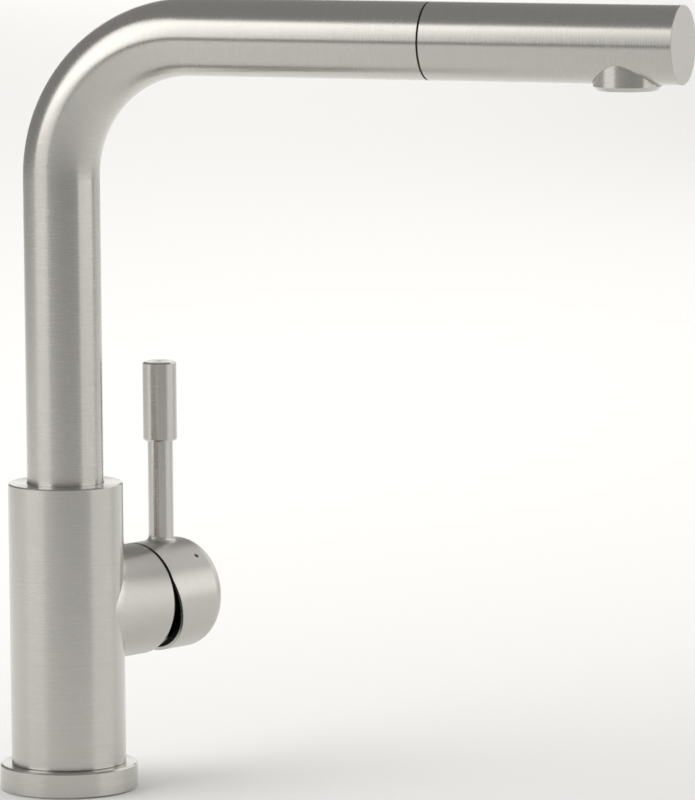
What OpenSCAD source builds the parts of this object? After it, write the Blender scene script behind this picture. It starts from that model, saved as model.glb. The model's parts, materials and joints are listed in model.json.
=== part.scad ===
// Single-lever kitchen mixer with an L-shaped swivel spout and a pull-out spray head.
// Millimetres. The origin is the centre of the deck plane, +Z is up, and at rest the
// spout reaches towards -Y. Parts under the deck have negative heights.

/* [Body] */
// Outer diameter of the column
body_d = 45; // [44:0.5:50]
// Height of the column's top above the deck
body_top = 121; // [119:0.5:130]
// Outer diameter of the base ring
base_d = 54; // [50:0.5:60]
// Height of the base ring
base_h = 10.2; // [6:0.1:12]

/* [Spout] */
// Outer diameter of the spout tube and of the pull-out head
tube_d = 30; // [29.5:0.1:31]
// Height of the arm's axis above the deck
arm_z = 296; // [260:1:340]
// Bend radius on the tube's axis
bend_r = 55.5; // [45:0.5:70]
// Distance from the column's axis to the joint between arm and head
seam_s = 153; // [145:1:170]
// Distance from the column's axis to the flat end of the head
head_end_s = 254; // [250:1:275]
// Distance from the column's axis to the outlet's axis
outlet_s = 232; // [228:1:234]
// How far the outlet ring stands below the head
outlet_drop = 2.2; // [1.5:0.1:4]

/* [Valve and lever] */
// Height of the cartridge's axis above the deck
valve_z = 70.5; // [60:0.5:80]
// Angle from the spout at rest to the cartridge's axis, seen from above
valve_turn = 68.4; // [60:0.1:100]
// Outer diameter of the valve housing and of the lever's cap
housing_d = 44; // [43:0.5:45]
// Distance from the column's axis to the housing's rim
housing_x = 38; // [37:0.5:39]
// Distance from the column's axis to the cap's outer face
cap_x = 67.5; // [65:0.5:70]
// Distance from the column's axis to the lever's rod
rod_x = 52.8; // [51:0.1:54]
// Height of the lever's top above the deck
lever_top = 163.8; // [150:0.1:190]
// Length of the thicker grip at the top of the lever
grip_h = 31.5; // [20:0.5:45]

/* [Mounting] */
// Thickness of the worktop between the base ring and the clamp washer
worktop = 30; // [5:1:40]

/* [Hidden] */
$fn = 96;

// fits: radial play of parts that run in each other, and of parts that only sit together
run = 0.06;
seat = 0.05;

body_r = body_d / 2;
body_wall = 2.5;
bore_r = body_r - body_wall;
base_r = base_d / 2;

tube_r = tube_d / 2;
tube_wall = 1.5;
tube_in = tube_r - tube_wall;
tube_foot = 98;
head_wall = 2;
head_in = tube_r - head_wall;
head_s = seam_s + 0.6;
outlet_r = 13;
outlet_bevel = 1.6;

housing_r = housing_d / 2;
housing_in = housing_r - 2.4;
valve_body_r = housing_in - 0.2;
cartridge_r = 17.3;
rotor_r = 15.4;
neck_r = 11.9;
tilt_x = 31;
tip_arm = 6.2;
tip_r = 2;

cap_gap = 1.2;
cap_wall = 3.5;
cap_rim_wall = 1.3;
cap_rim_end = 46;
cap_end_wall = 4;
cap_round = 6;
cap_wedge_z = 9;
cap_wedge_angle = 15.6;
dot_x = 57.5;
dot_angle = 42.5;

rod_r = 5;
grip_r = 6.75;
rod_foot = housing_r - 1.5;

shank_r = 16.5;
shank_thread_r = 16.3;
shank_in = 15;
shank_foot = -worktop - 22;
shank_head = 22;
clamp_r = 29;
clamp_in = shank_r + 0.3;
gasket_r = [18.6, 23.4];
gasket_h = 1.5;
nut_flats = 41;
nut_h = 8;

hose_r = 5.5;
hose_side = 7.5;
hose_turn_low = 85;
hose_turn_top = 125;
tail_r = 2.8;
tail_end_r = 3;
tail_foot = shank_foot - 12;
tail_places = [[7.4, -8.8], [7.4, 8.8], [8, 0]];
port_places = [[-7.6, 3.4], [7.6, 3.4], [0, -8]];
port_r = 2.6;

swivel_half = 60;
stop_r = 2;
stop_at = valve_turn;

steel = [0.80, 0.79, 0.77];
steel_dark = [0.62, 0.61, 0.59];
brass = [0.78, 0.62, 0.32];
plastic_dark = [0.16, 0.16, 0.17];
plastic_pale = [0.86, 0.86, 0.84];
rubber = [0.08, 0.08, 0.08];
ceramic = [0.95, 0.94, 0.90];
nylon = [0.42, 0.43, 0.45];

// ---------- frames and simple shapes ----------

// +X runs outwards along the cartridge's axis, +Z is up, and the origin is on the column's axis
module valve_frame() {
    translate([0, 0, valve_z]) rotate([0, 0, valve_turn - 90]) children();
}

// the same directions, with the origin on the deck plane
module valve_plan() {
    rotate([0, 0, valve_turn - 90]) children();
}

// a rod from x0 to x1 along the cartridge's axis
module x_rod(r, x0, x1) {
    translate([x0, 0, 0]) rotate([0, 90, 0]) cylinder(r = r, h = x1 - x0);
}

module x_tube(r_out, r_in, x0, x1) {
    difference() {
        x_rod(r_out, x0, x1);
        x_rod(r_in, x0 - 1, x1 + 1);
    }
}

module z_rod(r, z0, z1) {
    translate([0, 0, z0]) cylinder(r = r, h = z1 - z0);
}

module z_tube(r_out, r_in, z0, z1) {
    difference() {
        z_rod(r_out, z0, z1);
        z_rod(r_in, z0 - 1, z1 + 1);
    }
}

// a rod along the arm, from s0 to s1 away from the column's axis
module arm_rod(r, s0, s1) {
    translate([0, -s0, arm_z]) rotate([90, 0, 0]) cylinder(r = r, h = s1 - s0);
}

module arm_tube(r_out, r_in, s0, s1) {
    difference() {
        arm_rod(r_out, s0, s1);
        arm_rod(r_in, s0 - 1, s1 + 1);
    }
}

// a solid disc or rod with bevelled rims, standing on z = 0
module bevelled(r, h, low, high) {
    rotate_extrude()
        polygon([[0, 0], [r - low, 0], [r, low], [r, h - high], [r - high, h], [0, h]]);
}

// the quarter ring that joins the riser to the arm
module bend(r_out, r_in) {
    translate([0, -bend_r, arm_z - bend_r]) rotate([0, 0, 90]) rotate([90, 0, 0])
        rotate_extrude(angle = 90) translate([bend_r, 0]) difference() {
            circle(r = r_out);
            if (r_in > 0) circle(r = r_in);
        }
}

// ---------- base and mounting ----------

module base_ring() {
    color(steel) difference() {
        bevelled(base_r, base_h, 0.7, 0.7);
        z_rod(clamp_in, -1, base_h + 1);
        z_tube(gasket_r[1] + seat, gasket_r[0] - seat, -1, gasket_h);
    }
}

module deck_gasket() {
    color(rubber) z_tube(gasket_r[1], gasket_r[0], 0, gasket_h);
}

module base_hub() {
    color(brass) z_tube(bore_r - seat, shank_thread_r + seat, base_h, base_h + 14);
}

module mounting_shank() {
    color(brass) difference() {
        union() {
            z_rod(shank_thread_r, shank_foot, shank_head);
            z_rod(shank_r, -worktop, 0);
        }
        z_rod(shank_in, shank_foot - 1, shank_head + 1);
    }
}

module clamp_gasket() {
    color(rubber) z_tube(clamp_r, clamp_in, -worktop - 3, -worktop);
}

module clamp_washer() {
    color(steel_dark) z_tube(clamp_r, clamp_in, -worktop - 5, -worktop - 3);
}

module back_nut() {
    color(brass) translate([0, 0, -worktop - 5 - nut_h]) difference() {
        cylinder(r = nut_flats / 2 / cos(30), h = nut_h, $fn = 6);
        z_rod(shank_thread_r + seat, -1, nut_h + 1);
    }
}

// ---------- column and swivel ----------

module body_shell() {
    color(steel) difference() {
        union() {
            translate([0, 0, base_h]) bevelled(body_r, body_top - base_h, 0.3, 0.5);
            valve_frame() rotate([0, 90, 0]) bevelled(housing_r, housing_x, 0, 0.4);
        }
        z_rod(bore_r, base_h - 1, body_top - 4);
        z_rod(tube_r + 0.25, base_h, body_top + 1);
        valve_frame() x_rod(housing_in, 0, housing_x + 1);
        rotate([0, 0, stop_at]) translate([0, 0, sleeve_mid])
            x_rod(stop_r + seat, bore_r - 2, body_r + 1);
    }
}

// the bush stack inside the column, from the top plate down
bush_top = body_top - 4;
sleeve_top = bush_top - 6;
sleeve_low = sleeve_top - 8;
sleeve_mid = (sleeve_top + sleeve_low) / 2;
sleeve_r = tube_r + 3.4;
groove_r = tube_r + 1.7;

module upper_bush() {
    color(plastic_pale) z_tube(bore_r - seat, tube_r + run, sleeve_top + 0.1, bush_top);
}

module lower_bush() {
    color(plastic_pale) z_tube(bore_r - seat, tube_r + run, tube_foot, sleeve_low - 0.1);
}

module bush_clip() {
    color(steel_dark) z_tube(bore_r - seat, tube_in + 1, tube_foot - 1.8, tube_foot - 0.3);
}

module swivel_stop_screw() {
    color(steel_dark) rotate([0, 0, stop_at]) translate([0, 0, sleeve_mid]) difference() {
        x_rod(stop_r, groove_r + 0.2, body_r - 0.6);
        translate([body_r - 2.2, 0, 0]) rotate([0, 90, 0]) cylinder(r = 1.15, h = 3, $fn = 6);
    }
}

// ---------- hose inside the column and spout ----------

// two equal arcs carry the hose from its side place by the valve to the column's axis
hose_rise = hose_turn_top - hose_turn_low;
hose_arc = 2 * atan(hose_side / hose_rise);
hose_arc_r = hose_rise / 2 / sin(hose_arc);

// half of that turn, from its middle up
module hose_half_turn() {
    rotate([0, hose_arc, 0]) translate([-hose_arc_r, 0, 0]) rotate([90, 0, 0])
        rotate_extrude(angle = hose_arc) translate([hose_arc_r, 0]) circle(r = hose_r);
}

module hose_riser() {
    color(nylon) valve_plan() {
        translate([-hose_side, 0, 0]) {
            z_rod(hose_r, shank_foot, hose_turn_low);
            z_rod(hose_r + 0.5, hose_turn_low - 4, hose_turn_low + 4);
        }
        translate([-hose_side / 2, 0, hose_turn_low + hose_rise / 2])
            for (turn = [0, 180]) rotate([0, turn, 0]) hose_half_turn();
    }
}

module hose_bend() {
    color(nylon) {
        z_rod(hose_r, hose_turn_top, arm_z - bend_r);
        bend(hose_r, 0);
    }
}

// ---------- valve ----------

module valve_body() {
    color(brass) valve_frame() difference() {
        x_rod(valve_body_r, 4, 34);
        x_rod(cartridge_r + 0.2, 12, 35);
        x_rod(18.2, 28, 35);
        for (p = port_places) translate([0, p[0], p[1]]) x_rod(port_r, 6, 13);
        for (i = [0:2]) translate([tail_places[i][0], tail_places[i][1], 0])
            z_rod(tail_r + seat, -valve_body_r - 1, port_places[i][1]);
        for (y = [-1, 1]) translate([0, y * 12, -8]) x_rod(1.6, 10.4, 13);
    }
}

// a pipe from the valve down through the mounting shank
module tail(i) {
    color(steel_dark) valve_plan() translate([tail_places[i][0], tail_places[i][1], 0]) difference() {
        union() {
            z_rod(tail_r, tail_foot, valve_z - 14);
            z_rod(tail_end_r, tail_foot, tail_foot + 10);
        }
        z_rod(tail_r - 0.8, tail_foot - 1, valve_z - 13);
    }
}

module port_seals() {
    color(rubber) valve_frame() for (p = port_places) translate([0, p[0], p[1]])
        x_tube(3.9, 2.8, 12, 12.9);
}

module cartridge_base() {
    color(plastic_pale) valve_frame() difference() {
        union() {
            x_rod(cartridge_r, 12, 16.5);
            for (y = [-1, 1]) translate([0, y * 12, -8]) x_rod(1.5, 10.6, 12.5);
        }
        for (p = port_places) translate([0, p[0], p[1]]) {
            x_rod(port_r, 11, 17);
            x_rod(4, 11, 13);
        }
    }
}

module fixed_disc() {
    color(ceramic) valve_frame() difference() {
        x_rod(14.8, 16.5, 19.5);
        for (p = port_places) translate([0, p[0], p[1]]) x_rod(port_r, 16, 20);
    }
}

module cartridge_casing() {
    color(plastic_pale) valve_frame() difference() {
        x_rod(cartridge_r, 16.5, 31.2);
        x_rod(rotor_r + run, 16, 29.1);
        x_rod(neck_r + run, 28, 32);
    }
}

module cartridge_nut() {
    color(brass) valve_frame() difference() {
        union() {
            x_rod(18.1, 31.2, 35);
            x_rod(housing_in - 0.3, 34.1, 36);
            translate([36, 0, 0]) rotate([0, 90, 0]) cylinder(r = 16.4, h = 5, $fn = 12);
        }
        x_rod(12.6, 31, 42);
    }
}

// a dark ring round the nut, with a lip at the bottom that fills the gap under the cap;
// the lip is short enough to stay clear of the cap when the lever is turned and tipped
module dust_ring() {
    color(plastic_dark) valve_frame() difference() {
        union() {
            x_rod(18.9, 36.05, 41.5);
            intersection() {
                x_rod(20.2, 38.2, 42.5);
                translate([38, -25, -25]) cube([6, 50, 10]);
            }
        }
        x_rod(16.6, 35, 44);
    }
}

// the disc that slides on the fixed disc; closed, it sits half its travel below the axis
disc_low = -1.1;

module moving_disc() {
    color(ceramic) valve_frame() translate([0, 0, disc_low]) difference() {
        x_rod(12, 19.5, 22.5);
        translate([19, -8, -8]) cube([2, 16, 9.7]);
    }
}

module disc_carrier() {
    color(plastic_pale) valve_frame() difference() {
        translate([0, 0, disc_low]) x_rod(12, 22.5, 26.5);
        x_rod(tip_r + 0.08, 22, 27);
    }
}

module cartridge_rotor() {
    color(plastic_dark) valve_frame() difference() {
        union() {
            x_rod(rotor_r, 26.6, 29);
            x_rod(neck_r, 28.5, 34.5);
        }
        translate([26, -4.15, -6.3]) cube([9, 8.3, 12.6]);
        translate([tilt_x, 0, 0]) rotate([90, 0, 0]) cylinder(r = 1.5 + seat, h = 40, center = true);
    }
}

module tilt_pin() {
    color(steel_dark) valve_frame() translate([tilt_x, 0, 0]) rotate([90, 0, 0])
        cylinder(r = 1.5, h = 22, center = true);
}

// ---------- lever ----------

module lever_spindle() {
    half = 4;
    color(brass) valve_frame() difference() {
        union() {
            translate([28.5, -half, -half]) cube([30, 2 * half, 2 * half]);
            x_rod(1.3, tilt_x - tip_arm, 29);
            translate([tilt_x - tip_arm, 0, 0]) sphere(r = tip_r);
        }
        translate([tilt_x, 0, 0]) rotate([90, 0, 0]) cylinder(r = 1.5 + run, h = 20, center = true);
    }
}

// the wedge taken off the cap's rim, so that the cap can tip over the housing
module cap_wedge() {
    translate([housing_x + cap_gap, 0, cap_wedge_z]) rotate([0, -cap_wedge_angle, 0])
        translate([-20, -40, -60]) cube([20, 80, 60]);
}

module dot_frame() {
    translate([dot_x, 0, 0]) rotate([dot_angle, 0, 0]) children();
}

// the cap's outside: a short cylinder with a rounded outer end
module cap_outside() {
    length = cap_x - housing_x - cap_gap;
    translate([housing_x + cap_gap, 0, 0]) rotate([0, 90, 0]) rotate_extrude() {
        square([housing_r - cap_round, length]);
        square([housing_r, length - cap_round]);
        intersection() {
            translate([housing_r - cap_round, length - cap_round]) circle(r = cap_round);
            square([housing_r, length]);
        }
    }
}

module lever_cap() {
    socket = 4 + seat;
    color(steel) valve_frame() difference() {
        cap_outside();
        x_rod(housing_r - cap_rim_wall, housing_x, cap_rim_end);
        difference() {
            x_rod(housing_r - cap_wall, housing_x, cap_x - cap_end_wall);
            x_rod(7.5, 47, cap_x);
        }
        cap_wedge();
        translate([40, -socket, -socket]) cube([18.8, 2 * socket, 2 * socket]);
        translate([rod_x, 0, 0]) z_rod(rod_r + seat, rod_foot, housing_r + 5);
        translate([rod_x, 0, 0]) z_rod(3 + seat, housing_r - cap_wall - 2, housing_r);
        translate([rod_x, 0, -housing_r - 1]) cylinder(r = 2.5 + seat, h = housing_r);
        dot_frame() z_rod(0.9 + seat, housing_r - 1.2, housing_r + 2);
    }
}

module lever_rod() {
    color(steel) valve_frame() translate([rod_x, 0, 0]) {
        z_rod(rod_r, rod_foot, lever_top - grip_h - valve_z);
        z_rod(3, housing_r - cap_wall, rod_foot + 1);
        z_rod(3.5, lever_top - grip_h - valve_z - 1, lever_top - valve_z - 12);
    }
}

module lever_grip() {
    color(steel) valve_plan() translate([rod_x, 0, lever_top - grip_h]) difference() {
        bevelled(grip_r, grip_h, 0.7, 0.7);
        z_rod(3.5 + seat, -1, grip_h - 11);
    }
}

module lever_lock_screw() {
    color(steel_dark) valve_frame() translate([rod_x, 0, 0]) difference() {
        translate([0, 0, -housing_r + 1]) cylinder(r = 2.5, h = housing_r - 5.1);
        translate([0, 0, -housing_r]) cylinder(r = 1.45, h = 3.5, $fn = 6);
    }
}

module index_plug() {
    color(plastic_dark) valve_frame() dot_frame() z_rod(0.9, housing_r - 1.2, housing_r - 0.15);
}

// ---------- spout ----------

module spout_tube() {
    color(steel) {
        z_tube(tube_r, tube_in, tube_foot, arm_z - bend_r);
        bend(tube_r, tube_in);
        arm_tube(tube_r, tube_in, bend_r, seam_s);
    }
}

// the collar on the spout's foot, with the groove that the stop screw runs in
module swivel_sleeve() {
    groove_half = swivel_half + asin((stop_r + seat) / groove_r);
    color(brass) difference() {
        z_tube(sleeve_r, tube_r, sleeve_low, sleeve_top);
        rotate([0, 0, 90 - groove_half]) translate([0, 0, sleeve_mid - stop_r - 0.1])
            rotate_extrude(angle = 2 * groove_half)
                translate([groove_r, 0]) square([3, 2 * stop_r + 0.2]);
    }
}

// the liner that keeps the hose off the tube's lower edge
module hose_guide() {
    color(plastic_pale) z_tube(tube_in - seat, 12, tube_foot, tube_foot + 10);
}

module docking_sleeve() {
    color(plastic_dark) arm_tube(tube_in - seat, 11.2, seam_s - 29, seam_s - 0.5);
}

// ---------- pull-out head ----------

module head_shell() {
    color(steel) difference() {
        translate([0, -head_s, arm_z]) rotate([90, 0, 0])
            bevelled(tube_r, head_end_s - head_s, 0.25, 0.2);
        arm_rod(head_in, head_s - 1, head_end_s - 3);
        translate([0, -outlet_s, arm_z]) z_rod(outlet_r + 0.12, -tube_r - 1, -4);
    }
}

module docking_spigot() {
    color(plastic_dark) difference() {
        union() {
            arm_rod(11.1, seam_s - 25, seam_s + 0.3);
            arm_rod(tube_r - 0.7, seam_s, head_s);
            arm_rod(head_in - 0.1, head_s, head_s + 16);
        }
        arm_rod(7.3, seam_s - 26, head_s + 17);
    }
}

module hose_pull() {
    color(nylon) arm_rod(hose_r, bend_r, seam_s - 14);
}

module hose_ferrule() {
    color(steel_dark) arm_rod(7.1, seam_s - 14, head_s + 16.5);
}

module hose_nut() {
    color(brass) translate([0, -head_s - 16.5, arm_z]) rotate([90, 0, 0])
        cylinder(r = 10.5, h = 13, $fn = 6);
}

module hose_washer() {
    color(rubber) arm_tube(6.9, 4, head_s + 29.5, head_s + 31.5);
}

module check_valve() {
    color(plastic_pale) arm_tube(6.9, 2.5, head_s + 31.5, head_s + 44);
}

module head_core() {
    color(plastic_pale) difference() {
        arm_rod(head_in - 0.1, head_s + 29.5, head_end_s - 3.5);
        arm_rod(7, head_s + 28, head_s + 44);
        arm_rod(4.5, head_s + 40, outlet_s);
        translate([-20, -head_end_s, arm_z - 26]) cube([40, head_end_s - head_s - 48, 20]);
        translate([0, -outlet_s, arm_z]) z_rod(6, -10, 0);
    }
}

module outlet_ring() {
    low = -tube_r - outlet_drop;
    color(steel) translate([0, -outlet_s, arm_z]) difference() {
        translate([0, 0, low]) bevelled(outlet_r, -6.2 - low, outlet_bevel, 0);
        z_rod(11, low - 1, 0);
    }
}

module aerator() {
    low = -tube_r - outlet_drop + 0.8;
    pitch = 2.4;
    color(plastic_dark) translate([0, -outlet_s, arm_z]) difference() {
        z_rod(10.9, low, -8);
        z_rod(8.6, low + 2.5, -7);
        for (i = [0:3]) for (k = [0:max(1, 6 * i) - 1])
            rotate([0, 0, 360 * k / max(1, 6 * i)]) translate([pitch * i, 0, low - 1])
                cylinder(r = 0.95, h = 5, $fn = 16);
    }
}

module aerator_seal() {
    color(rubber) translate([0, -outlet_s, arm_z]) z_tube(10.9, 8, -8, -6.2);
}

// ---------- assembly ----------

base_ring();
deck_gasket();
body_shell();
base_hub();
mounting_shank();
clamp_gasket();
clamp_washer();
back_nut();
valve_body();
tail(0);  // cold_tail
tail(1);  // hot_tail
tail(2);  // outlet_tail
port_seals();
cartridge_base();
fixed_disc();
cartridge_casing();
cartridge_nut();
dust_ring();
upper_bush();
lower_bush();
bush_clip();
swivel_stop_screw();
hose_riser();
moving_disc();
disc_carrier();
cartridge_rotor();
tilt_pin();
lever_spindle();
lever_cap();
lever_rod();
lever_grip();
lever_lock_screw();
index_plug();
spout_tube();
swivel_sleeve();
hose_guide();
docking_sleeve();
hose_bend();
head_shell();
docking_spigot();
hose_pull();
hose_ferrule();
hose_nut();
hose_washer();
check_valve();
head_core();
outlet_ring();
aerator();
aerator_seal();
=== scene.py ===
import json
import math

import bpy
from mathutils import Matrix, Vector


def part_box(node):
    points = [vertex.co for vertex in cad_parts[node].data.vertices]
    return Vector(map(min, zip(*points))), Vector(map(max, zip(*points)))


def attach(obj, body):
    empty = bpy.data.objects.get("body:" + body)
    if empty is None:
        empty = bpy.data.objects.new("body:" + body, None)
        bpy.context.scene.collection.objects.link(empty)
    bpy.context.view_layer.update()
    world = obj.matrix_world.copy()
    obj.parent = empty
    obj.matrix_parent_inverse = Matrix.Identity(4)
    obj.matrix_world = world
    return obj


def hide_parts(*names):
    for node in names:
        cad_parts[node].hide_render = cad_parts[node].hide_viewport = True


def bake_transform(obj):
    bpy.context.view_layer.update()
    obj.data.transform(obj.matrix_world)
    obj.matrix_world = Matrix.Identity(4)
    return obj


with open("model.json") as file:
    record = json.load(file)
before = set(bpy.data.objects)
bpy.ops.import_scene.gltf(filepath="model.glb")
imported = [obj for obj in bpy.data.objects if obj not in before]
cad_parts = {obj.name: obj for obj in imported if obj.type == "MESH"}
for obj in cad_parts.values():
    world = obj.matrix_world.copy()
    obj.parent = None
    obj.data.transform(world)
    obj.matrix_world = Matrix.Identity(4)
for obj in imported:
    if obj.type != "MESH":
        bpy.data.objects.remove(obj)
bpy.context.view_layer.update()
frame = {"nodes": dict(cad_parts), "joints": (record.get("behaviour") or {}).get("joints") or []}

Z = Vector((0, 0, 1))


# ---------- sizes, from the frame ----------


def middle(node):
    low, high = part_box(node)
    return (low + high) / 2


def half_size(node):
    low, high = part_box(node)
    return (high - low) / 2


joints = {j["name"]: j for j in frame["joints"]}
VALVE_AXIS = Vector(joints["temperature_turn"]["axis"])
VALVE_CENTRE = Vector(joints["temperature_turn"]["pos_m"])
PULL_STROKE = joints["head_pull"]["range_m"][1]
BODY_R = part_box("body_shell")[1].y
ARM_Z = middle("head_shell").z
HEAD_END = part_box("head_shell")[0].y
# the sliding run of hose starts where the tube's bend ends
BEND_R = -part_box("hose_pull")[1].y
HOSE_R = half_size("hose_pull").z
ROD_R = half_size("lever_rod").x
CAP_R = half_size("lever_cap").z
# how far the cap reaches along the valve's axis
CAP_END = max((v.co - VALVE_CENTRE).dot(VALVE_AXIS)
              for v in frame["nodes"]["lever_cap"].data.vertices)


# ---------- camera ----------

VIEW_AZIMUTH = math.radians(-68.6)
VIEW_PITCH = math.radians(7.053)
VIEW_ROLL = math.radians(-0.431)
AIM = Vector((0.0403, -0.1029, 0.1525))
DISTANCE = 2.3253
LENS = 268.1
CLIP = (0.1, 60)


def make_camera():
    """Makes the camera and returns the level direction that it looks in."""
    data = bpy.data.cameras.new("camera")
    data.lens = LENS
    data.clip_start, data.clip_end = CLIP
    cam = bpy.data.objects.new("camera", data)
    bpy.context.scene.collection.objects.link(cam)
    level = Vector((-math.sin(VIEW_AZIMUTH), math.cos(VIEW_AZIMUTH), 0))
    forward = level * math.cos(VIEW_PITCH) - Z * math.sin(VIEW_PITCH)
    flat_right = forward.cross(Z).normalized()
    flat_up = flat_right.cross(forward)
    right = flat_right * math.cos(VIEW_ROLL) + flat_up * math.sin(VIEW_ROLL)
    up = flat_up * math.cos(VIEW_ROLL) - flat_right * math.sin(VIEW_ROLL)
    turn = Matrix((right, up, -forward)).transposed()
    cam.matrix_world = Matrix.Translation(AIM - forward * DISTANCE) @ turn.to_4x4()
    bpy.context.scene.camera = cam
    return level


# ---------- floor and light ----------

FLOOR_HALF = 14.0
FLOOR_COLOUR = (0.76, 0.76, 0.755, 1)
WORLD_COLOUR = (1.0, 0.985, 0.96, 1)
WORLD_STRENGTH = 0.30
LAMP_COLOUR = (1.0, 0.99, 0.975)
LAMP_TARGET = Vector((0, -0.1, 0.2))
# name, degrees to the right of the camera, height in degrees, distance, width, height, watts
LAMPS = [
    ("left_softbox", -65, 26, 2.6, 2.1, 2.2, 24),
    ("right_softbox", 80, 16, 2.6, 2.7, 1.8, 18),
    ("right_back_softbox", 138, 23, 2.6, 1.8, 2.3, 11),
    ("back_softbox", 180, 8, 7.0, 4.6, 2.1, 26),
]
# name, degrees to the right of the camera, distance, height, width, depth, watts
FLOOR_LAMPS = [
    ("floor_light_back", 180, 4.2, 0.8, 1.8, 8.6, 54),
    ("floor_light_left", -72, 1.4, 0.8, 1.4, 1.4, 8),
]


def make_stage(level):
    """The floor, the world and the lamps, placed round the camera's level direction."""
    mesh = bpy.data.meshes.new("floor")
    half = FLOOR_HALF
    corners = [(-half, -half, 0), (half, -half, 0), (half, half, 0), (-half, half, 0)]
    mesh.from_pydata(corners, [], [(0, 1, 2, 3)])
    floor = bpy.data.objects.new("floor", mesh)
    bpy.context.scene.collection.objects.link(floor)
    mat = bpy.data.materials.new("pale_floor")
    mat.use_nodes = True
    shader = mat.node_tree.nodes["Principled BSDF"]
    shader.inputs["Base Color"].default_value = FLOOR_COLOUR
    shader.inputs["Roughness"].default_value = 0.9
    shader.inputs["Specular IOR Level"].default_value = 0.0
    mesh.materials.append(mat)

    world = bpy.data.worlds.new("studio")
    bpy.context.scene.world = world
    world.use_nodes = True
    background = world.node_tree.nodes["Background"]
    background.inputs["Color"].default_value = WORLD_COLOUR
    background.inputs["Strength"].default_value = WORLD_STRENGTH

    for name, turn, height, distance, wide, tall, power in LAMPS:
        lamp = add_area(name, wide, tall, power)
        place = (beside(level, turn) * math.cos(math.radians(height))
                 + Z * math.sin(math.radians(height)))
        lamp.location = LAMP_TARGET + place * distance
        lamp.rotation_mode = "QUATERNION"
        lamp.rotation_quaternion = place.to_track_quat("Z", "Y")

    # lights over the floor, which the metal doesn't mirror
    for name, turn, distance, height, wide, deep, power in FLOOR_LAMPS:
        lamp = add_area(name, wide, deep, power)
        lamp.visible_glossy = False
        lamp.location = beside(level, turn) * distance + Z * height
        lamp.rotation_euler = (0, 0, VIEW_AZIMUTH + math.radians(turn))


def beside(level, turn):
    """The level direction from the object, turned so many degrees to the right of the camera."""
    return Matrix.Rotation(math.radians(turn), 3, "Z") @ -level


def add_area(name, wide, tall, power):
    light = bpy.data.lights.new(name, "AREA")
    light.shape = "RECTANGLE"
    light.size, light.size_y = wide, tall
    light.energy = power
    light.color = LAMP_COLOUR
    lamp = bpy.data.objects.new(name, light)
    lamp.visible_camera = False
    bpy.context.scene.collection.objects.link(lamp)
    return lamp


# ---------- materials ----------

STEEL = (0.600, 0.585, 0.556)
TURNED_STEEL = (0.52, 0.51, 0.49)
BRASS = (0.72, 0.53, 0.26)
# near black painted shade for the cap's interior, where little light reaches
CAP_PAINTED_SHADE = (0.03, 0.029, 0.027)
BRAID_COLOURS = ((0.03, 0.03, 0.032), (0.42, 0.425, 0.435))
BRAID_STRANDS = 8
BRAID_PITCH = 0.0046
THREAD_PITCH = 0.0015
# the brushed grain: distance between its fine and its coarse lines
FINE_PITCH = 0.00016
COARSE_PITCH = 0.0011
TOOL_MARK_PITCH = 0.0004
# size and depth of the matt texture on moulded parts
MATT_GRAIN = 0.0006
MATT_DEPTH = 0.00002
# the cap's wall at its rim and at its end, a little less than in the CAD
CAP_RIM_WALL = 0.0012
CAP_END_WALL = 0.0035


def hue(colour, factor):
    return tuple(c * factor for c in colour)


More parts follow.
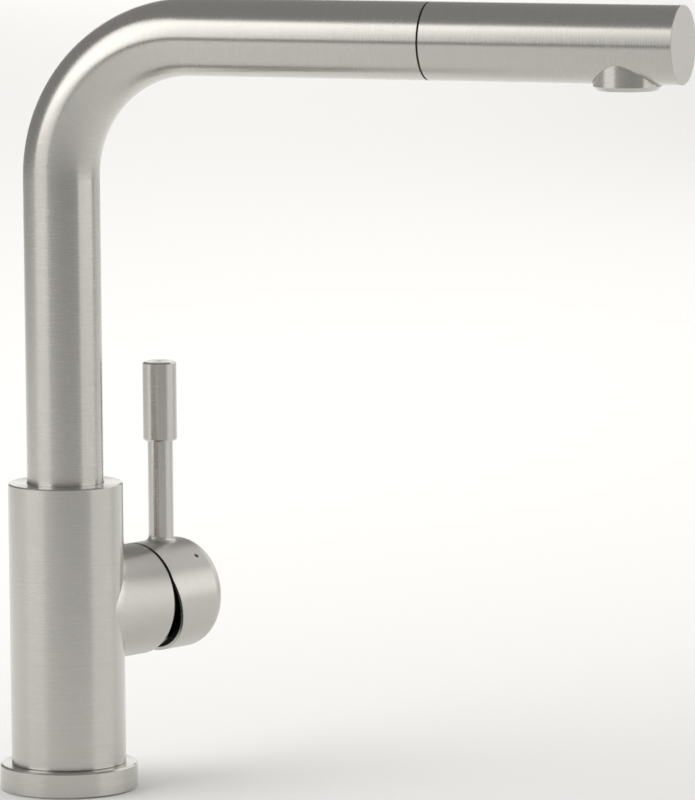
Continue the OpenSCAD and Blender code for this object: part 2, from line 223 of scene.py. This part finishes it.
class Nodes:
    """Small helper that adds and links shader nodes."""

    def __init__(self, name):
        self.mat = bpy.data.materials.new(name)
        self.mat.use_nodes = True
        self.tree = self.mat.node_tree
        self.shader = self.tree.nodes["Principled BSDF"]

    def add(self, kind, **settings):
        node = self.tree.nodes.new(kind)
        for key, value in settings.items():
            setattr(node, key, value)
        return node

    def put(self, socket, value):
        if hasattr(value, "is_linked"):
            self.tree.links.new(value, socket)
        else:
            socket.default_value = value

    def math(self, operation, a, b=0.0):
        node = self.add("ShaderNodeMath", operation=operation)
        self.put(node.inputs[0], a)
        self.put(node.inputs[1], b)
        return node.outputs[0]

    def vector(self, operation, a, b=(0, 0, 0)):
        node = self.add("ShaderNodeVectorMath", operation=operation)
        self.put(node.inputs[0], a)
        if operation == "SCALE":
            self.put(node.inputs["Scale"], b)
        else:
            self.put(node.inputs[1], b)
        return node.outputs["Value" if operation in ("DOT_PRODUCT", "LENGTH") else "Vector"]

    def split(self, vector):
        node = self.add("ShaderNodeSeparateXYZ")
        self.put(node.inputs[0], vector)
        return node.outputs

    def join(self, x, y, z):
        node = self.add("ShaderNodeCombineXYZ")
        for socket, value in zip(node.inputs, (x, y, z)):
            self.put(socket, value)
        return node.outputs[0]

    def place(self):
        if not hasattr(self, "coordinates"):
            self.coordinates = self.add("ShaderNodeTexCoord")
        return self.coordinates.outputs["Object"]

    def noise(self, vector, scale, detail=2.0, roughness=0.5):
        node = self.add("ShaderNodeTexNoise")
        self.put(node.inputs["Vector"], vector)
        node.inputs["Scale"].default_value = scale
        node.inputs["Detail"].default_value = detail
        node.inputs["Roughness"].default_value = roughness
        return node.outputs[0]

    def ramp(self, value, low, high, to_low, to_high):
        node = self.add("ShaderNodeMapRange")
        self.put(node.inputs["Value"], value)
        limits = {"From Min": low, "From Max": high, "To Min": to_low, "To Max": to_high}
        for key, number in limits.items():
            node.inputs[key].default_value = number
        return node.outputs[0]

    def mix(self, factor, a, b):
        node = self.add("ShaderNodeMix", data_type="RGBA")
        self.put(node.inputs[0], factor)
        self.put(node.inputs[6], (*a, 1) if isinstance(a, tuple) else a)
        self.put(node.inputs[7], (*b, 1) if isinstance(b, tuple) else b)
        return node.outputs[2]

    def bump(self, height, distance, strength=1.0):
        node = self.add("ShaderNodeBump")
        node.inputs["Strength"].default_value = strength
        node.inputs["Distance"].default_value = distance
        self.put(node.inputs["Height"], height)
        self.put(self.shader.inputs["Normal"], node.outputs[0])

    def to_world(self, vector):
        node = self.add("ShaderNodeVectorTransform", vector_type="VECTOR",
                        convert_from="OBJECT", convert_to="WORLD")
        self.put(node.inputs[0], vector)
        return node.outputs[0]


def about_axis(n, centre, axis):
    """How far along an axis a point lies, and the vector to it from the axis."""
    from_centre = n.vector("SUBTRACT", n.place(), tuple(centre))
    along = n.vector("DOT_PRODUCT", from_centre, tuple(axis))
    radial = n.vector("SUBTRACT", from_centre, n.vector("SCALE", tuple(axis), along))
    return along, radial


def lathe_grain(n, centre, axis):
    """Grain that runs round an axis: a count across its lines, the outward direction, and the
    direction across the grain on the surface."""
    along, radial = about_axis(n, centre, axis)
    outward = n.vector("NORMALIZE", radial)
    row = n.math("ADD", along, n.vector("LENGTH", radial))
    around = n.vector("CROSS_PRODUCT", tuple(axis), outward)
    across = n.vector("CROSS_PRODUCT", n.coordinates.outputs["Normal"], around)
    return row, outward, across


def tube_grain(n):
    """The same for the bent spout tube, counted along its centreline."""
    x, y, z = n.split(n.place())
    back = n.math("MAXIMUM", n.math("ADD", y, BEND_R), 0.0)
    up = n.math("MAXIMUM", n.math("SUBTRACT", z, ARM_Z - BEND_R), 0.0)
    turn = n.math("ARCTAN2", up, back)
    riser = n.math("MINIMUM", z, ARM_Z - BEND_R)
    arm = n.math("MAXIMUM", n.math("SUBTRACT", n.math("MULTIPLY", y, -1.0), BEND_R), 0.0)
    row = n.math("ADD", n.math("ADD", riser, n.math("MULTIPLY", turn, BEND_R)), arm)
    reach = n.math("SQRT", n.math("ADD", n.math("MULTIPLY", back, back),
                                  n.math("MULTIPLY", up, up)))
    outward = n.vector("NORMALIZE", n.join(x, n.math("SUBTRACT", reach, BEND_R), 0.0))
    across = n.join(0.0, n.math("MULTIPLY", up, -1.0), back)
    return row, outward, across


def head_end_mask(n):
    """1 on the flat end of the head, 0 on its side; it fades over the edge's bevel."""
    return n.ramp(n.split(n.place())[1], HEAD_END + 0.00005, HEAD_END + 0.0004, 1.0, 0.0)


def head_grain(n):
    """Round the head on its side, and straight across its flat end."""
    row, outward, across = lathe_grain(n, (0, 0, ARM_Z), (0, -1, 0))
    on_end = head_end_mask(n)
    across = n.vector("ADD", n.vector("SCALE", across, n.math("SUBTRACT", 1.0, on_end)),
                      n.vector("SCALE", (0, 0, 1), on_end))
    return row, outward, across


def housing_mask(n):
    """1 on the side housing, 0 on the column."""
    _, radial = about_axis(n, (0, 0, 0), Z)
    return n.ramp(n.vector("LENGTH", radial), BODY_R + 0.0002, BODY_R + 0.0015, 0.0, 1.0)


def cap_shade_mask(n):
    """1 on the cap's unpolished interior, whose near black colour is painted shade, 0 on its rim and
    outside.
    """
    wall, end_wall = CAP_R - CAP_RIM_WALL, CAP_END - CAP_END_WALL
    along, radial = about_axis(n, VALVE_CENTRE, VALVE_AXIS)
    return n.math("MULTIPLY", n.ramp(along, end_wall - 0.0001, end_wall, 1.0, 0.0),
                  n.ramp(n.vector("LENGTH", radial), wall - 0.0001, wall, 1.0, 0.0))


def brushed(name, grain, roughness=0.25, anisotropic=0.75, softer=None, shaded=None):
    """Fine satin-brushed stainless steel, with the grain running round the part. Where the mask
    softer is 1, the finish is duller; where the second mask is 1, the metal is rough and coloured
    near black as painted shade."""
    n = Nodes(name)
    row, outward, across = grain(n)
    slow = n.split(outward)

    def streaks(pitch, breaks):
        lines = n.math("MULTIPLY", row, 1.0 / pitch)
        side, up = (n.math("MULTIPLY", part, breaks) for part in (slow[0], slow[1]))
        return n.noise(n.join(lines, side, up), 1.0)

    fine = streaks(FINE_PITCH, 2.4)
    coarse = streaks(COARSE_PITCH, 1.2)
    cloud = n.noise(n.place(), 26.0, 3.0)
    mixed = n.math("ADD", n.math("MULTIPLY", fine, 0.6), n.math("MULTIPLY", coarse, 0.4))
    colour = n.mix(n.ramp(mixed, 0.35, 0.65, 0.0, 1.0), hue(STEEL, 0.97), hue(STEEL, 1.03))
    rough = n.math("ADD", n.ramp(fine, 0.3, 0.7, roughness - 0.03, roughness + 0.03),
                   n.ramp(cloud, 0.3, 0.7, -0.015, 0.015))
    if softer:
        rough = n.math("ADD", rough, n.math("MULTIPLY", softer(n), 0.18))
    # painted shade: where this mask is 1 the colour goes near black; the roughness is raised there
    # too
    if shaded:
        hidden = shaded(n)
        colour = n.mix(hidden, colour, CAP_PAINTED_SHADE)
        rough = n.math("MAXIMUM", rough, n.math("MULTIPLY", hidden, 0.8))
    n.put(n.shader.inputs["Base Color"], colour)
    n.put(n.shader.inputs["Roughness"], rough)
    n.shader.inputs["Metallic"].default_value = 1.0
    n.shader.inputs["Anisotropic"].default_value = anisotropic
    n.put(n.shader.inputs["Tangent"], n.to_world(across))
    n.bump(n.math("ADD", fine, n.math("MULTIPLY", coarse, 0.3)), 0.000005, 0.6)
    return n.mat


def mottle(n, colour, shade, scale, detail):
    """Gives the surface a slightly uneven tone, down to shade times its colour."""
    tone = n.noise(n.place(), scale, detail)
    n.put(n.shader.inputs["Base Color"],
          n.mix(n.ramp(tone, 0.3, 0.7, 0.0, 1.0), hue(colour, shade), colour))


def plain_metal(name, colour, roughness):
    """Turned metal of a hidden part: faint tool marks and slightly uneven tone."""
    n = Nodes(name)
    marks = n.noise(n.vector("MULTIPLY", n.place(), (0.15, 0.15, 1.0)), 1.0 / TOOL_MARK_PITCH, 2.0)
    mottle(n, colour, 0.88, 90.0, 3.0)
    n.put(n.shader.inputs["Roughness"], n.ramp(marks, 0.3, 0.7, roughness - 0.06, roughness + 0.06))
    n.shader.inputs["Metallic"].default_value = 1.0
    n.bump(marks, 0.00001, 0.5)
    return n.mat


def moulded(name, colour, roughness):
    """Moulded plastic or rubber: a fine matt texture and slight variation."""
    n = Nodes(name)
    texture = n.noise(n.place(), 1.0 / MATT_GRAIN, 3.0, 0.6)
    mottle(n, colour, 0.86, 60.0, 2.0)
    n.put(n.shader.inputs["Roughness"], n.ramp(texture, 0.3, 0.7, roughness - 0.08, roughness + 0.08))
    n.bump(texture, MATT_DEPTH, 0.5)
    return n.mat


def threaded(name, colour, roughness, pitch):
    """Metal with a fine screw thread about the upright axis."""
    n = Nodes(name)
    x, y, z = n.split(n.place())
    turns = n.math("DIVIDE", n.math("ARCTAN2", y, x), 2 * math.pi)
    height = n.math("PINGPONG", n.math("ADD", n.math("DIVIDE", z, pitch), turns), 0.5)
    mottle(n, colour, 0.85, 90.0, 3.0)
    n.put(n.shader.inputs["Roughness"], n.ramp(height, 0.0, 0.5, roughness + 0.15, roughness))
    n.shader.inputs["Metallic"].default_value = 1.0
    n.bump(height, 0.0008, 0.8)
    return n.mat


def counts_on_bend(n):
    """Strand counts round and along the hose in the spout, from the place alone."""
    row, outward, _ = tube_grain(n)
    side, up, _ = n.split(outward)
    turns = n.math("MULTIPLY", n.math("ARCTAN2", up, side), BRAID_STRANDS / (2 * math.pi))
    return turns, n.math("DIVIDE", row, BRAID_PITCH)


def counts_stored(n):
    """The same, stored in the mesh, so that they stay with the hose when it moves."""
    stored = n.add("ShaderNodeAttribute", attribute_name="strand_counts")
    turns, along, _ = n.split(stored.outputs["Vector"])
    return turns, along


def braided(name, dark, light, counts):
    """A woven nylon sleeve: two sets of strands that wind round the hose and cross over and under."""
    n = Nodes(name)
    turns, along = counts(n)
    one = n.math("ADD", turns, along)
    other = n.math("SUBTRACT", turns, along)
    cell = n.math("ADD", n.math("FLOOR", one), n.math("FLOOR", other))
    over = n.math("FLOORED_MODULO", cell, 2.0)

    def rise(count):
        return n.math("ABSOLUTE", n.math("SINE", n.math("MULTIPLY", count, math.pi)))

    height = n.math("ADD", n.math("MULTIPLY", over, rise(one)),
                    n.math("MULTIPLY", n.math("SUBTRACT", 1.0, over), rise(other)))
    n.put(n.shader.inputs["Base Color"], n.mix(n.ramp(height, 0.35, 0.85, 0.0, 1.0), dark, light))
    n.put(n.shader.inputs["Roughness"], n.ramp(height, 0.0, 1.0, 0.8, 0.5))
    n.bump(height, 0.0005, 0.8)
    return n.mat


def give(material, *names):
    """Gives CAD nodes a material."""
    for name in names:
        node = frame["nodes"][name]
        node.data.materials.clear()
        node.data.materials.append(material)


def lathe_about(centre, axis):
    def grain(n):
        return lathe_grain(n, centre, axis)
    return grain


def dress():
    """Gives every CAD node its material, and returns the cap's."""
    valve_grain = lathe_about(VALVE_CENTRE, VALVE_AXIS)
    # the cap's interior gets painted shade and a rough finish
    valve_steel = brushed("steel_valve", valve_grain, roughness=0.39, anisotropic=0.05,
                          shaded=cap_shade_mask)
    upright = lathe_about(Vector(), Z)
    give(brushed("steel_column", upright, softer=housing_mask), "body_shell")
    give(brushed("steel_base", upright), "base_ring")
    give(valve_steel, "lever_cap")
    give(brushed("steel_lever", lathe_about(middle("lever_grip"), Z)), "lever_rod", "lever_grip")
    give(brushed("steel_tube", tube_grain), "spout_tube")
    give(brushed("steel_head", head_grain, softer=head_end_mask), "head_shell")
    give(brushed("steel_outlet", lathe_about(middle("outlet_ring"), Z)), "outlet_ring")
    give(plain_metal("turned_steel", TURNED_STEEL, 0.3), "clamp_washer", "bush_clip",
         "swivel_stop_screw", "tilt_pin", "lever_lock_screw", "hose_ferrule", "cold_tail", "hot_tail",
         "outlet_tail")
    give(plain_metal("machined_brass", BRASS, 0.28), "base_hub", "back_nut", "valve_body",
         "cartridge_nut", "lever_spindle", "swivel_sleeve", "hose_nut")
    give(threaded("threaded_brass", BRASS, 0.28, THREAD_PITCH), "mounting_shank")
    give(moulded("black_rubber", (0.03, 0.03, 0.03), 0.75), "deck_gasket", "clamp_gasket",
         "port_seals", "hose_washer", "aerator_seal")
    give(moulded("pale_acetal", (0.74, 0.74, 0.71), 0.42), "cartridge_base", "cartridge_casing",
         "disc_carrier", "upper_bush", "lower_bush", "hose_guide", "check_valve", "head_core")
    give(moulded("dark_acetal", (0.035, 0.034, 0.033), 0.4), "cartridge_rotor", "dust_ring",
         "docking_sleeve", "docking_spigot", "aerator", "index_plug")
    give(moulded("lapped_ceramic", (0.84, 0.82, 0.76), 0.18), "fixed_disc", "moving_disc")
    give(braided("nylon_braid", *BRAID_COLOURS, counts_on_bend), "hose_riser", "hose_bend")
    return valve_steel


# ---------- weld between the lever's rod and its cap ----------

# the fillet's radius, and how much larger it is towards the column
WELD_SIZE = 0.0014
WELD_EXTRA = 0.0005
# how deep its hidden edges lie in the rod and the cap, and how far it stands proud of them
WELD_SUNK = 0.0004
WELD_PROUD = (0.00003, 0.00002)


def rod_weld(material):
    """A fillet round the rod's foot that follows the cap's round surface."""
    centre = middle("lever_rod")
    side = Z.cross(VALVE_AXIS)
    around, steps = 120, 12
    inner = ROD_R - WELD_SUNK
    verts, faces = [], []
    for i in range(around):
        turn = 2 * math.pi * i / around
        size = WELD_SIZE - WELD_EXTRA * math.cos(turn)
        section = [(inner, size)]
        for j in range(steps + 1):
            t = math.pi / 2 * j / steps
            section.append((ROD_R + WELD_PROUD[0] + size * (1 - math.cos(t)),
                            size * (1 - math.sin(t)) + WELD_PROUD[1]))
        section += [(ROD_R + size, -WELD_SUNK), (inner, -WELD_SUNK)]
        for reach, height in section:
            drop = reach * math.sin(turn)
            flat = VALVE_AXIS * (reach * math.cos(turn)) + side * drop
            surface = VALVE_CENTRE.z + math.sqrt(CAP_R ** 2 - drop ** 2)
            verts.append((centre.x + flat.x, centre.y + flat.y, surface + height))
    count = len(verts) // around
    for i in range(around):
        for j in range(count):
            a, b = i * count, (i + 1) % around * count
            k = (j + 1) % count
            faces.append((a + j, a + k, b + k, b + j))
    mesh = bpy.data.meshes.new("rod_weld")
    mesh.from_pydata(verts, [], faces)
    mesh.materials.append(material)
    # only the fillet itself is smooth; its hidden edges stay sharp
    mesh.polygons.foreach_set("use_smooth",
                              [1 <= j <= steps for _ in range(around) for j in range(count)])
    weld = bpy.data.objects.new("rod_weld", mesh)
    bpy.context.scene.collection.objects.link(weld)
    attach(weld, "lever")


# ---------- the hose that the head pulls out ----------


def pull_hose():
    """Braided hose from the bend to the head's ferrule, in place of the CAD hose, which it hides."""
    low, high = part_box("hose_pull")
    start, end = high.y, low.y
    length = start - end
    around, rings = 36, 200
    verts, faces, counts = [], [], []
    for i in range(rings + 1):
        share = i / rings
        # the weave is counted along the pulled hose, so that it looks even when the head is out
        pulled = length * share + PULL_STROKE * share * share * (3 - 2 * share)
        for j in range(around + 1):
            turn = 2 * math.pi * j / around
            verts.append((HOSE_R * math.cos(turn), start - length * share,
                          ARM_Z + HOSE_R * math.sin(turn)))
            counts.append((BRAID_STRANDS * j / around, pulled / BRAID_PITCH, 0))
    row = around + 1
    for i in range(rings):
        for j in range(around):
            a = i * row + j
            faces.append((a, a + 1, a + row + 1, a + row))
    mesh = bpy.data.meshes.new("pull_hose")
    mesh.from_pydata(verts, [], faces)
    mesh.polygons.foreach_set("use_smooth", [True] * len(faces))
    stored = mesh.attributes.new("strand_counts", "FLOAT_VECTOR", "POINT")
    stored.data.foreach_set("vector", [value for count in counts for value in count])
    mesh.materials.append(braided("nylon_braid_pulled", *BRAID_COLOURS, counts_stored))
    hose = bpy.data.objects.new("pull_hose", mesh)
    bpy.context.scene.collection.objects.link(hose)
    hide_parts("hose_pull")
    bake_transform(hose)


# ---------- build ----------

bpy.context.scene.view_settings.view_transform = "Standard"
level = make_camera()
make_stage(level)
rod_weld(dress())
pull_hose()
